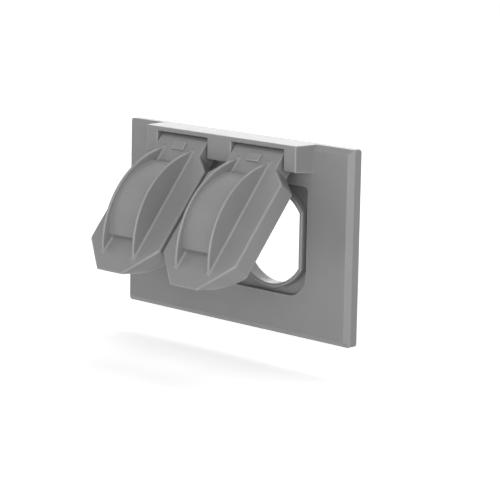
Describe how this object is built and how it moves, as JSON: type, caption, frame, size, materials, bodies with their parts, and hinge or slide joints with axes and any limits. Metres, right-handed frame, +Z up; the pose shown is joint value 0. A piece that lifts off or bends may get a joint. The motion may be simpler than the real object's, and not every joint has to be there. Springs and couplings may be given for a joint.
{
  "type": "weatherproof flip cover",
  "caption": "Cast wall plate for a horizontal duplex socket outlet, with a hinge hood and self-standing lids that swing up from the openings.",
  "frame": {"origin": "centre of the plate on its back plane, where the cover screw leaves it", "axes": "+X along the plate's width, +Y into the wall, +Z up; the lids face -Y"},
  "size_m": [0.116, 0.0603, 0.0714],
  "materials": {
    "casting": "matt grey powder coat over a die casting",
    "pin_steel": "plain drawn steel",
    "screw_steel": "zinc-plated steel",
    "lid_foam": "closed-cell foam",
    "wall_foam": "closed-cell foam"
  },
  "bodies": {
    "plate": {"cover_plate": "casting", "hinge_pin": "pin_steel", "cover_screw": "screw_steel", "wall_seal": "wall_foam"},
    "left_flap": {"left_lid": "casting", "left_lid_seal": "lid_foam"},
    "right_flap": {"right_lid": "casting", "right_lid_seal": "lid_foam"}
  },
  "joints": [
    {"name": "left_hinge", "type": "hinge", "parent": "plate", "child": "left_flap", "pos_m": [-0.01945, -0.0095, 0.03], "axis": [-1, 0, 0], "range_deg": [-39.3, 40]},
    {"name": "right_hinge", "type": "hinge", "parent": "plate", "child": "right_flap", "pos_m": [0.01945, -0.0095, 0.03], "axis": [-1, 0, 0], "range_deg": [-39.3, 40]}
  ]
}
